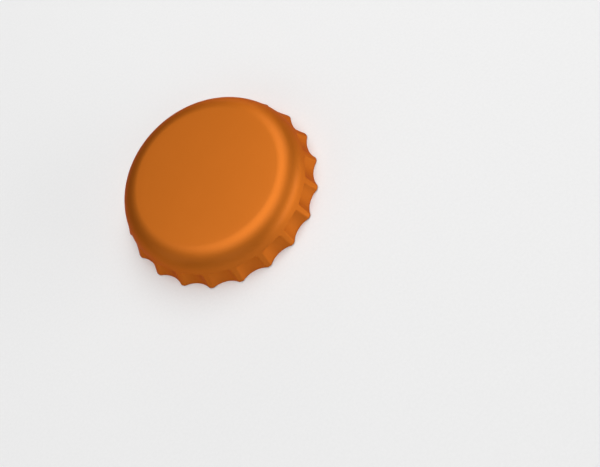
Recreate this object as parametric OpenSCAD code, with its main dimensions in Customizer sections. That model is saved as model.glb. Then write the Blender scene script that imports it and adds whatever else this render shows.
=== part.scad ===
// Crown bottle cap: a pressed and lacquered tinplate shell with a moulded sealing ring inside.
// The origin is the centre of the plane that the cap stands on, open side down.
// +Z is the cap's axis and points out through the flat panel. All sizes are in millimetres.

/* [Cap] */
// Diameter over the tips of the teeth
teeth_d = 32.1; // [32:0.1:32.3]
// Height from the lowest point of the cut edge to the panel
cap_h = 6.0; // [5.9:0.1:6.1]
// Number of teeth round the skirt
teeth = 21; // [20:1:22]
// Thickness of the tinplate sheet
sheet_t = 0.24; // [0.2:0.01:0.28]

/* [Panel and skirt] */
// Radius of the flat panel
panel_r = 11.3; // [11.2:0.05:11.35]
// Outside radius of the rounded shoulder
shoulder_r = 3.6; // [3.5:0.05:3.65]
// Lean of the skirt below the shoulder, in degrees from upright
skirt_lean = 21; // [20:0.5:21.5]
// Radius of the flare that turns the teeth outwards
flare_r = 20; // [18:1:24]

/* [Flutes] */
// Depth of a flute at the cut edge, in from the tooth tips
flute_depth = 0.8; // [0.75:0.05:0.85]
// Radius across a flute
flute_r = 3.4; // [3.3:0.05:3.5]
// Lean of a flute's floor, in degrees from upright
flute_lean = 18; // [17:0.5:19]
// Height at which the floor of a flute ends
flute_top = 2.85; // [2.75:0.05:2.95]
// Radius of the dome that ends a flute
flute_dome_r = 16; // [14:1:18]
// Radius between the dome and the sides of a flute
flute_corner_r = 0.3; // [0.25:0.05:0.35]
// Height of the tooth tips over the lowest point of the cut edge
tip_lift = 0.25; // [0.2:0.05:0.3]

/* [Sealing ring] */
// Inner radius of the ring
ring_r = 9.95; // [9.7:0.05:10.2]
// Outer radius of the flat inner band
band_r = 11.5; // [11.4:0.05:11.6]
// Thickness of the inner band
band_t = 0.6; // [0.55:0.05:0.65]
// Thickness of the ring at its groove
groove_t = 0.45; // [0.4:0.05:0.5]
// Radius of the circle that the outer bead runs on
bead_ring_r = 12.6; // [12.55:0.05:12.65]
// Radius of the outer bead's section
bead_r = 0.5; // [0.45:0.05:0.5]
// Radius on the edges of the inner band
band_edge_r = 0.15; // [0.1:0.05:0.2]

/* [Hidden] */
$fn = 144;

tip_r = teeth_d / 2;
pitch = 360 / teeth;
past_edge = 0.3;
flute_reach = 0.1;
inside_z = cap_h - sheet_t;

// Outer profile of the shell, as [radius, height]: shoulder arc, straight skirt, then flare.
shoulder_c = [panel_r, cap_h - shoulder_r];
skirt_out = [cos(skirt_lean), sin(skirt_lean)];
skirt_down = [sin(skirt_lean), -cos(skirt_lean)];
tip = [tip_r, tip_lift];
shoulder_end = shoulder_c + shoulder_r * skirt_out;
// The flare is tangent to the skirt and passes through the tooth tip, which fixes the skirt's length.
// A skirt that would reach past the tip on its own stays straight.
to_tip = shoulder_end + flare_r * skirt_out - tip;
along = to_tip * skirt_down;
flare_share = along * along - to_tip * to_tip + flare_r * flare_r;
skirt_len = -along - sqrt(max(0, flare_share));
flare_c = shoulder_end + skirt_len * skirt_down + flare_r * skirt_out;

// A flute's tool stands on an axis parallel to the flute's floor, one flute radius outside it.
floor_r = tip_r - flute_depth;
flute_axis = [floor_r - flute_top * tan(flute_lean), flute_top]
    + flute_r * [cos(flute_lean), sin(flute_lean)];
flute_len = 2 * cap_h;
dome_c = -sqrt(flute_dome_r * flute_dome_r - flute_r * flute_r);
corner_x = flute_r - flute_corner_r;
corner_z = dome_c + sqrt(pow(flute_dome_r - flute_corner_r, 2) - corner_x * corner_x);
corner_dir = [corner_x, corner_z - dome_c] / norm([corner_x, corner_z - dome_c]);

// Half section filled in to the axis, set in from the outside of the shell by inset.
// It goes on below the cut edge, down to the depth given.
module filled_section(inset, depth) {
    skirt_top = shoulder_c + (shoulder_r - inset) * skirt_out;
    skirt_end = skirt_top + skirt_len * skirt_down;
    difference() {
        union() {
            polygon([
                [0, -depth], [tip_r + 2 * depth, -depth], [tip_r + 2 * depth, skirt_end[1]],
                skirt_end, skirt_top, shoulder_c, [panel_r, cap_h - inset], [0, cap_h - inset]
            ]);
            translate(shoulder_c) intersection() {
                circle(shoulder_r - inset);
                square(shoulder_r);
            }
        }
        translate(flare_c) circle(flare_r + inset);
    }
}

// Half section of the tool that presses a flute: round sides, a domed end and a corner radius.
// grow makes the tool larger all round, for the inside face of the sheet.
module flute_section(grow) {
    dome_edge = (flute_dome_r + grow) * corner_dir[0];
    translate([0, -flute_len]) square([flute_r + grow, flute_len + corner_z]);
    translate([corner_x, corner_z]) circle(flute_corner_r + grow);
    intersection() {
        translate([0, dome_c]) circle(flute_dome_r + grow);
        translate([0, corner_z - flute_r]) square([dome_edge, 2 * flute_dome_r]);
    }
}

// The part of the tool that bites into the skirt. Cut off just outside it, neighbours stay apart.
module flute(grow) {
    intersection() {
        translate([flute_axis[0], 0, flute_axis[1]])
            rotate([0, -flute_lean, 0])
                rotate_extrude() flute_section(grow);
        rotate_extrude() filled_section(grow - flute_reach, 1.5 * past_edge);
    }
}

// The cap's outer form as a solid block, or the hollow inside the sheet, with all its flutes.
module pressed_form(inset) {
    difference() {
        rotate_extrude() filled_section(inset, past_edge);
        for (i = [0 : teeth - 1]) rotate((i + 0.5) * pitch) flute(inset);
    }
}

// Everything below the cut edge: level at the floors of the flutes, and rising to the tooth tips.
module below_edge() {
    rise = tip_lift / flute_depth;
    rotate_extrude() polygon([
        [0, -2 * past_edge], [tip_r + 2 * past_edge, -2 * past_edge],
        [tip_r + 2 * past_edge, tip_lift + 2 * past_edge * rise], [floor_r, 0], [0, 0]
    ]);
}

// The sheet is what lies between the outer form and the same form set in by its thickness.
module shell() {
    color([0.80, 0.43, 0.13]) difference() {
        pressed_form(0);
        pressed_form(sheet_t);
        below_edge();
    }
}

// The ring is moulded against the inside of the panel and the shoulder, and fills up to both.
module liner() {
    color([0.63, 0.70, 0.73])
    rotate_extrude()
    intersection() {
        filled_section(sheet_t, past_edge);
        union() {
            translate([ring_r, inside_z - band_t + band_edge_r])
                square([band_r - ring_r, band_t]);
            translate([ring_r + band_edge_r, inside_z - band_t])
                square([band_r - ring_r - 2 * band_edge_r, band_t]);
            for (x = [ring_r + band_edge_r, band_r - band_edge_r])
                translate([x, inside_z - band_t + band_edge_r]) circle(band_edge_r);
            translate([ring_r + band_edge_r, inside_z - groove_t])
                square([bead_ring_r + bead_r - ring_r - band_edge_r, band_t]);
            translate([bead_ring_r, inside_z - groove_t]) circle(bead_r);
        }
    }
}

shell();
liner();
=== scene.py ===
"""Looks of a crown bottle cap: a pressed, lacquered shell with a sealing ring moulded inside it."""

import math

import bmesh
import bpy
from mathutils import Matrix, Vector


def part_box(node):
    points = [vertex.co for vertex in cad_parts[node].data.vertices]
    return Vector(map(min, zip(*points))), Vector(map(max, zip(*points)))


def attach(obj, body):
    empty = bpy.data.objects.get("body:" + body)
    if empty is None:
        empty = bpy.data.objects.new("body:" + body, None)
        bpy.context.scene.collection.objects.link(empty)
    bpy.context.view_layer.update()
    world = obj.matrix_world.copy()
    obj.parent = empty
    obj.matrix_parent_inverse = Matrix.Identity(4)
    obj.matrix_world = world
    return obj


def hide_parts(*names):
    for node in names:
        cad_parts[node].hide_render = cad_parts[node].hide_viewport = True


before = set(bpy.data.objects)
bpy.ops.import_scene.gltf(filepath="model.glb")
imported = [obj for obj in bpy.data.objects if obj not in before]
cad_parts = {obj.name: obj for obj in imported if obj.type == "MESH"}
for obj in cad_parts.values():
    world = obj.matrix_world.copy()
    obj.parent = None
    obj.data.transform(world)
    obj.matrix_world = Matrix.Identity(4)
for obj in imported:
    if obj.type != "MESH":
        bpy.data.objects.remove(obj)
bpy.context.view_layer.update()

# ---- Shell ----------------------------------------------------------------------------------
# The shell is one disc of thin tinplate, lacquered orange on both faces before it is pressed.
# One stroke of the press draws the shoulder, flares the skirt and pushes the flutes into it.
# The disc's cut edge stays bare of lacquer; its paler orange line round the teeth is partly that bare
# metal and partly a painted highlight.

MM = 0.001
shell_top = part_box("shell")[1]
cap_height = shell_top.z
tooth_radius = shell_top.x
teeth = 21
sheet = 0.24 * MM
tooth_lift = 0.25 * MM

panel_radius = 11.3 * MM
shoulder_radius = 3.6 * MM
skirt_lean = math.radians(21)
flare_radius = 20 * MM

flute_depth = 0.8 * MM
flute_radius = 3.4 * MM
flute_lean = math.radians(18)
flute_top = 2.85 * MM
flute_dome = 16 * MM
flute_corner = 0.3 * MM

columns_a_tooth = 30
crowding = 0.7
slack = 0.001 * MM


def side_point(r, z):
    """A point of the half section, which is drawn in the XZ plane."""
    return Vector((r, 0, z))


def slanted(lean):
    """The outward and the upward direction of a line that leans in by that angle."""
    return side_point(math.cos(lean), math.sin(lean)), side_point(-math.sin(lean), math.cos(lean))


# The skirt runs straight down from the shoulder, then flares out to a tooth's tip.
skirt_out, skirt_up = slanted(skirt_lean)
shoulder_centre = side_point(panel_radius, cap_height - shoulder_radius)
shoulder_end = shoulder_centre + shoulder_radius * skirt_out
tooth_tip = side_point(tooth_radius, tooth_lift)
to_tip = shoulder_end + flare_radius * skirt_out - tooth_tip
rise = to_tip.dot(skirt_up)
straight = rise - math.sqrt(rise**2 - to_tip.length_squared + flare_radius**2)
flare_start = shoulder_end - straight * skirt_up
flare_centre = flare_start + flare_radius * skirt_out


def skirt_radius(z, inset):
    """Radius of the skirt at a height, before the flutes, for a skin that lies that far inside."""
    start = flare_start - inset * skirt_out
    if z > start.z:
        return start.x - (z - start.z) * math.tan(skirt_lean)
    return flare_centre.x - math.sqrt((flare_radius + inset) ** 2 - (z - flare_centre.z) ** 2)


def cut_height(r):
    """The shears cut the edge level under the flutes and let it rise to the tips of the teeth."""
    return tooth_lift * max(0, (r - tooth_radius + flute_depth) / flute_depth)


inner_end = skirt_radius(cut_height(tooth_radius - sheet), sheet)
inner_tip = side_point(inner_end, cut_height(inner_end))

# A flute's punch stands on an axis parallel to the flute's floor, with a domed end and a corner.
flute_out, flute_up = slanted(flute_lean)
floor_top = side_point(tooth_radius - flute_depth - flute_top * math.tan(flute_lean), flute_top)
punch_centre = floor_top + flute_radius * flute_out
dome_foot = -math.sqrt(flute_dome**2 - flute_radius**2)
corner_out = flute_radius - flute_corner
corner_up = dome_foot + math.sqrt((flute_dome - flute_corner) ** 2 - corner_out**2)
corner_share = (corner_up - dome_foot) / (flute_dome - flute_corner)


def draw_arc(bm, vert, centre, angle, steps):
    """Carries the section on from vert along an arc round centre, and returns its last vertex."""
    bent = bmesh.ops.spin(
        bm, geom=[vert], cent=centre, axis=(0, 1, 0), angle=angle, steps=steps, use_merge=False
    )
    return next(g for g in bent["geom_last"] if isinstance(g, bmesh.types.BMVert))


def draw_line(bm, vert, end, steps):
    """Carries the section on from vert to end in equal steps, and returns its last vertex."""
    start = vert.co.copy()
    for step in range(1, steps + 1):
        grown = bmesh.ops.extrude_vert_indiv(bm, verts=[vert])
        vert = grown["verts"][0]
        vert.co = start.lerp(end, step / steps)
    return vert


def round_section(bm, columns):
    """Turns the section once round the cap's axis and closes the seam and the poles."""
    section = bm.verts[:] + bm.edges[:]
    bmesh.ops.spin(
        bm, geom=section, cent=(0, 0, 0), axis=(0, 0, 1), angle=math.tau, steps=columns, use_merge=True
    )
    bmesh.ops.remove_doubles(bm, verts=bm.verts, dist=slack)
    bmesh.ops.recalc_face_normals(bm, faces=bm.faces)


def shell_section(bm):
    """The sheet's section: down its outside, across the cut edge and back up its inside."""
    shoulder_turn = math.pi / 2 - skirt_lean
    last = bm.verts.new(side_point(0, cap_height))
    last = draw_line(bm, last, side_point(panel_radius, cap_height), 9)
    last = draw_arc(bm, last, shoulder_centre, shoulder_turn, 26)
    last = draw_line(bm, last, tooth_tip, 24)
    last = draw_line(bm, last, inner_tip, 1)
    last = draw_line(bm, last, shoulder_end - sheet * skirt_out, 20)
    last = draw_arc(bm, last, shoulder_centre, -shoulder_turn, 16)
    draw_line(bm, last, side_point(0, cap_height - sheet), 6)


def punch_radius(height, grow):
    """Radius of the punch at a height along it; grow makes it larger, for the inner skin."""
    if height < corner_up:
        return flute_radius + grow
    if height < corner_up + (flute_corner + grow) * corner_share:
        return corner_out + math.sqrt((flute_corner + grow) ** 2 - (height - corner_up) ** 2)
    return math.sqrt(max(0, (flute_dome + grow) ** 2 - (height - dome_foot) ** 2))


def punch_depth(point, grow):
    """How deep a point lies in the punch that stands over the X axis, and how high along it."""
    local = point - punch_centre
    outside, height = local.dot(flute_out), local.dot(flute_up)
    reach = punch_radius(height, grow)
    return outside + math.sqrt(max(0, reach**2 - local.y**2)), height


def skirt_point(angle, z, inset):
    """A point of the skirt before the flutes, at an angle from a flute's middle line."""
    r = skirt_radius(z, inset)
    return Vector((r * math.cos(angle), r * math.sin(angle), z))


def flute_end(angle, inset):
    """Height at which a flute ends, at that angle from its middle line."""
    halvings = 20
    low, high = flute_top - flute_corner, shoulder_end.z
    if punch_depth(skirt_point(angle, low, inset), inset)[0] < 0:
        return low
    for _ in range(halvings):
        middle = (low + high) / 2
        if punch_depth(skirt_point(angle, middle, inset), inset)[0] > 0:
            low = middle
        else:
            high = middle
    return low


def rounded_depth(depth, r):
    """The depth inside the punch and none outside it, with a round of about r where it starts."""
    near = max(1 - abs(depth) / r, 0)
    return max(depth, 0) + near**2 * r / 4


def pressed(point, grow):
    """Where the punch over the X axis pushes a point of the skirt to; the end is rounder."""
    side_round, end_round = 0.06 * MM, 0.1 * MM
    depth, height = punch_depth(point, grow)
    near_end = min(max(height / flute_corner + 1, 0), 1)
    depth = rounded_depth(depth, side_round + (end_round - side_round) * near_end)
    return point - depth * flute_out


def cut_end(angle, inset):
    """Height at which the skirt has to end so that the press leaves its edge on the shears' cut."""
    corrections = 6
    z = 0.0
    for _ in range(corrections):
        foot = pressed(skirt_point(angle, z, inset), inset)
        z += cut_height(foot.xy.length) - foot.z
    return z


def press_flutes(bm):
    """Lays the rows of the mesh along each flute's end and cut edge, then presses the flutes in."""
    share_above, crowd_above, crowd_below = 0.3, 2, 1.6
    pitch = math.tau / teeth
    laid = {}
    for vert in bm.verts:
        r, z = vert.co.xy.length, vert.co.z
        inset = sheet if r < skirt_radius(min(z, shoulder_end.z), 0) - sheet / 2 else 0
        top = shoulder_end.z - inset * skirt_out.z
        if r < panel_radius or z > top - slack:
            continue
        angle = math.atan2(vert.co.y, vert.co.x)
        middle = (math.floor(angle / pitch) + 0.5) * pitch
        key = round(abs(angle - middle), 6), inset
        if key not in laid:
            laid[key] = flute_end(*key), cut_end(*key)
        end, foot = laid[key]
        down = (top - z) / (top - (inner_tip.z if inset else tooth_lift))
        if down < share_above:
            z = end + (top - end) * (1 - down / share_above) ** crowd_above
        else:
            z = end - (end - foot) * ((down - share_above) / (1 - share_above)) ** crowd_below
        vert.co = pressed(skirt_point(angle - middle, z, inset), inset)
        vert.co.rotate(Matrix.Rotation(middle, 3, "Z"))


def crowd_columns(bm, share):
    """Draws the columns of the mesh together towards the teeth, where the sheet bends most."""
    for vert in bm.verts:
        angle = math.atan2(vert.co.y, vert.co.x)
        turn = -share * math.sin(teeth * angle) / teeth
        vert.co.rotate(Matrix.Rotation(turn, 3, "Z"))


def trim_edge(bm, material):
    """Gives the cut face its own material and takes the sharpness off both its edges."""
    edge_round = 0.03 * MM
    on_cut = {v for v in bm.verts if abs(v.co.z - cut_height(v.co.xy.length)) < 2 * slack}
    rim = [f for f in bm.faces if all(v in on_cut for v in f.verts)]
    for face in rim:
        face.material_index = material
    edges = {e for f in rim for e in f.edges if not all(g in rim for g in e.link_faces)}
    bmesh.ops.bevel(
        bm, geom=list(edges), offset=edge_round, offset_type="OFFSET", affect="EDGES", segments=2,
        profile=0.5, material=-1,
    )
    for vert in bm.verts:
        vert.co.z = max(vert.co.z, 0)


def finish_mesh(name, bm, materials):
    """Makes the finished piece, with its place in its mesh and its object at the origin."""
    mesh = bpy.data.meshes.new(name)
    bm.to_mesh(mesh)
    bm.free()
    for material in materials:
        mesh.materials.append(material)
    mesh.shade_smooth()
    piece = bpy.data.objects.new(name, mesh)
    bpy.context.scene.collection.objects.link(piece)
    return piece


def new_material(name):
    """A principled shader and a Texture Coordinate node for a finish that follows the piece."""
    material = bpy.data.materials.new(name)
    material.use_nodes = True
    nodes, links = material.node_tree.nodes, material.node_tree.links
    shader = nodes["Principled BSDF"]
    coordinates = nodes.new("ShaderNodeTexCoord")
    return material, nodes, links, shader, coordinates.outputs["Object"]


def add_noise(nodes, links, where, size, detail):
    """A noise whose marks are about size metres across."""
    noise = nodes.new("ShaderNodeTexNoise")
    noise.inputs["Scale"].default_value = 1 / size
    noise.inputs["Detail"].default_value = detail
    links.new(where, noise.inputs["Vector"])
    return noise.outputs["Fac"]


def add_range(nodes, links, value, low, high):
    """Spreads the middle of a noise over low to high."""
    spread = nodes.new("ShaderNodeMapRange")
    spread.inputs["From Min"].default_value = 0.3
    spread.inputs["From Max"].default_value = 0.7
    spread.inputs["To Min"].default_value = low
    spread.inputs["To Max"].default_value = high
    links.new(value, spread.inputs["Value"])
    return spread.outputs["Result"]


def add_mix(nodes, links, value, first, second):
    """Blends two colours by value."""
    mix = nodes.new("ShaderNodeMix")
    mix.data_type = "RGBA"
    mix.inputs["A"].default_value = (*first, 1)
    mix.inputs["B"].default_value = (*second, 1)
    links.new(value, mix.inputs["Factor"])
    return mix.outputs["Result"]


def add_bump(nodes, links, value, height, shader):
    """Raises the surface by up to height metres where value is high."""
    bump = nodes.new("ShaderNodeBump")
    bump.inputs["Strength"].default_value = 1
    bump.inputs["Distance"].default_value = height
    links.new(value, bump.inputs["Height"])
    links.new(bump.outputs["Normal"], shader.inputs["Normal"])


def lacquer_material():
    """Satin orange lacquer: faint clouds where the coat runs thinner, and a very fine grain."""
    material, nodes, links, shader, where = new_material("orange_lacquer")
    clouds = add_noise(nodes, links, where, 9 * MM, 3)
    colour = add_mix(nodes, links, clouds, (0.575, 0.158, 0.0150), (0.615, 0.171, 0.0175))
    links.new(colour, shader.inputs["Base Color"])
    grain = add_noise(nodes, links, where, 0.12 * MM, 2)
    links.new(add_range(nodes, links, grain, 0.54, 0.58), shader.inputs["Roughness"])
    add_bump(nodes, links, grain, 0.0012 * MM, shader)
    shader.inputs["Metallic"].default_value = 1.0
    shader.inputs["Specular Tint"].default_value = (0.5, 0.19, 0.03, 1)
    shader.inputs["Coat Weight"].default_value = 0.07
    shader.inputs["Coat Roughness"].default_value = 0.3
    return material


def cut_edge_highlight_material():
    """Sheared tinplate with smears of lacquer drawn over it, coloured a paler orange than the lacquer
    as a painted highlight along the edge.
    """
    material, nodes, links, shader, where = new_material("cut_edge")
    smears = add_range(nodes, links, add_noise(nodes, links, where, 0.8 * MM, 3), 0, 1)
    # Both tones are lighter than the lacquer as a painted highlight on the thin edge; the blend
    # between them is the real smearing.
    colour = add_mix(nodes, links, smears, (0.72, 0.36, 0.16), (0.66, 0.26, 0.07))
    links.new(colour, shader.inputs["Base Color"])
    scratches = add_noise(nodes, links, where, 0.06 * MM, 2)
    links.new(add_range(nodes, links, scratches, 0.3, 0.5), shader.inputs["Roughness"])
    shader.inputs["Metallic"].default_value = 0.7
    return material


shell_mesh = bmesh.new()
shell_section(shell_mesh)
round_section(shell_mesh, columns_a_tooth * teeth)
crowd_columns(shell_mesh, crowding)
press_flutes(shell_mesh)
trim_edge(shell_mesh, 1)
shell = finish_mesh("pressed_shell", shell_mesh, [lacquer_material(), cut_edge_highlight_material()])
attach(shell, "root")
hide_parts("shell")

# ---- Sealing ring ---------------------------------------------------------------------------
# The ring is a blue-grey sealing compound, dropped in soft and moulded hot against the shell.
# A flat inner band, a shallow groove and a round outer bead are left by the moulding punch.

ring_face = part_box("liner")[1].z
ring_inner = 9.95 * MM
band_radius = 11.5 * MM
band_thick = 0.6 * MM
groove_thick = 0.45 * MM
bead_circle = 12.6 * MM
bead_radius = 0.5 * MM
band_round = 0.15 * MM
ring_columns = 336


def ring_section(bm):
    """The ring's section: down its inner edge, over band, groove and bead, and straight back."""
    quarter = math.pi / 2
    round_z = ring_face - band_thick + band_round
    groove_z = ring_face - groove_thick
    last = bm.verts.new(side_point(ring_inner, ring_face))
    last = draw_line(bm, last, side_point(ring_inner, round_z), 3)
    last = draw_arc(bm, last, side_point(ring_inner + band_round, round_z), -quarter, 5)
    last = draw_line(bm, last, side_point(band_radius - band_round, ring_face - band_thick), 8)
    last = draw_arc(bm, last, side_point(band_radius - band_round, round_z), -quarter, 5)
    last = draw_line(bm, last, side_point(bead_circle - bead_radius, groove_z), 4)
    last = draw_arc(bm, last, side_point(bead_circle, groove_z), -2 * quarter, 20)
    last = draw_line(bm, last, side_point(panel_radius, ring_face), 4)
    draw_line(bm, last, side_point(ring_inner, ring_face), 3)


def compound_material():
    """Moulded compound: a satin skin, faint clouds in the blue-grey and a fine dimple."""
    material, nodes, links, shader, where = new_material("sealing_compound")
    clouds = add_range(nodes, links, add_noise(nodes, links, where, 2.5 * MM, 3), 0, 1)
    colour = add_mix(nodes, links, clouds, (0.335, 0.42, 0.465), (0.39, 0.475, 0.52))
    links.new(colour, shader.inputs["Base Color"])
    dimples = add_noise(nodes, links, where, 0.1 * MM, 2)
    links.new(add_range(nodes, links, dimples, 0.42, 0.55), shader.inputs["Roughness"])
    add_bump(nodes, links, dimples, 0.002 * MM, shader)
    return material


ring_mesh = bmesh.new()
ring_section(ring_mesh)
round_section(ring_mesh, ring_columns)
ring = finish_mesh("sealing_ring", ring_mesh, [compound_material()])
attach(ring, "root")
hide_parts("liner")

# ---- Floor ----------------------------------------------------------------------------------
# A sheet of pale paper, large enough to fill every view.

paper_size = 1.2


def paper_material():
    """Matt white paper with a faint show of its fibres."""
    material, nodes, links, shader, where = new_material("pale_paper")
    fibres = add_range(nodes, links, add_noise(nodes, links, where, 0.4 * MM, 3), 0, 1)
    colour = add_mix(nodes, links, fibres, (0.84, 0.84, 0.84), (0.86, 0.86, 0.86))
    links.new(colour, shader.inputs["Base Color"])
    shader.inputs["Roughness"].default_value = 0.9
    shader.inputs["Specular IOR Level"].default_value = 0.1
    return material


paper_mesh = bmesh.new()
bmesh.ops.create_grid(paper_mesh, x_segments=1, y_segments=1, size=paper_size / 2)
paper = finish_mesh("paper", paper_mesh, [paper_material()])

# ---- Camera ---------------------------------------------------------------------------------
# The camera looks steeply down on the panel and is rolled, so the cap seems to lean to the left.

camera_azimuth = math.radians(-9.36)
camera_elevation = math.radians(61.23)
camera_roll = math.radians(-39.12)
camera_distance = 130 * MM
cap_right = -12.46 * MM
cap_up = 6.62 * MM
camera_lens = 49.9
camera_sensor = 36

turn = Matrix.Rotation(camera_azimuth, 3, "Z")
back = turn @ Vector((0, -math.cos(camera_elevation), math.sin(camera_elevation)))
level_right = turn @ Vector((1, 0, 0))
level_up = back.cross(level_right)
right = level_right * math.cos(camera_roll) + level_up * math.sin(camera_roll)
up = back.cross(right)
camera_data = bpy.data.cameras.new("camera")
camera_data.lens = camera_lens
camera_data.sensor_width = camera_sensor
camera_data.clip_start = 0.01
camera_data.clip_end = 10
camera = bpy.data.objects.new("camera", camera_data)
bpy.context.scene.collection.objects.link(camera)
place = Matrix((right, up, back)).transposed().to_4x4()
place.translation = camera_distance * back - cap_right * right - cap_up * up
camera.matrix_world = place
bpy.context.scene.camera = camera

# ---- Light ----------------------------------------------------------------------------------
# Soft studio light: a wide panel overhead, a key high on the right, two weak fills on the left,
# and two low strips that put light on the flutes. The room itself is dim.

lamp_distance = 0.5
room_glow = 0.07


def add_softbox(name, azimuth, elevation, width, height, radiance):
    """An evenly lit panel that faces the cap; the azimuth is counted from the camera's right."""
    data = bpy.data.lights.new(name, "AREA")
    data.shape = "RECTANGLE"
    data.size = width
    data.size_y = height
    data.energy = radiance * math.pi * width * height
    lamp = bpy.data.objects.new(name, data)
    bpy.context.scene.collection.objects.link(lamp)
    stand = Matrix.Rotation(camera_azimuth + azimuth, 4, "Z")
    tilt = Matrix.Rotation(math.pi / 2 - elevation, 4, "Y")
    upright = Matrix.Rotation(math.pi / 2, 4, "Z")
    lamp.matrix_world = stand @ tilt @ Matrix.Translation((0, 0, lamp_distance)) @ upright


add_softbox("overhead", 0, math.radians(89), 0.5, 0.5, 2.65)
add_softbox("key", math.radians(36), math.radians(45), 0.28, 0.26, 3.0)
add_softbox("fill", math.radians(240), math.radians(25), 0.26, 0.24, 1.08)
add_softbox("fill_left", math.radians(180), math.radians(25), 0.26, 0.24, 1.0)
add_softbox("low_front", math.radians(318), math.radians(8), 0.5, 0.12, 5.35)
add_softbox("low_back", math.radians(60), math.radians(8), 0.26, 0.12, 2.0)

room = bpy.data.worlds.new("room")
room.use_nodes = True
glow = room.node_tree.nodes["Background"]
glow.inputs["Color"].default_value = (1, 1, 1, 1)
glow.inputs["Strength"].default_value = room_glow
bpy.context.scene.world = room
bpy.context.scene.view_settings.view_transform = "Standard"
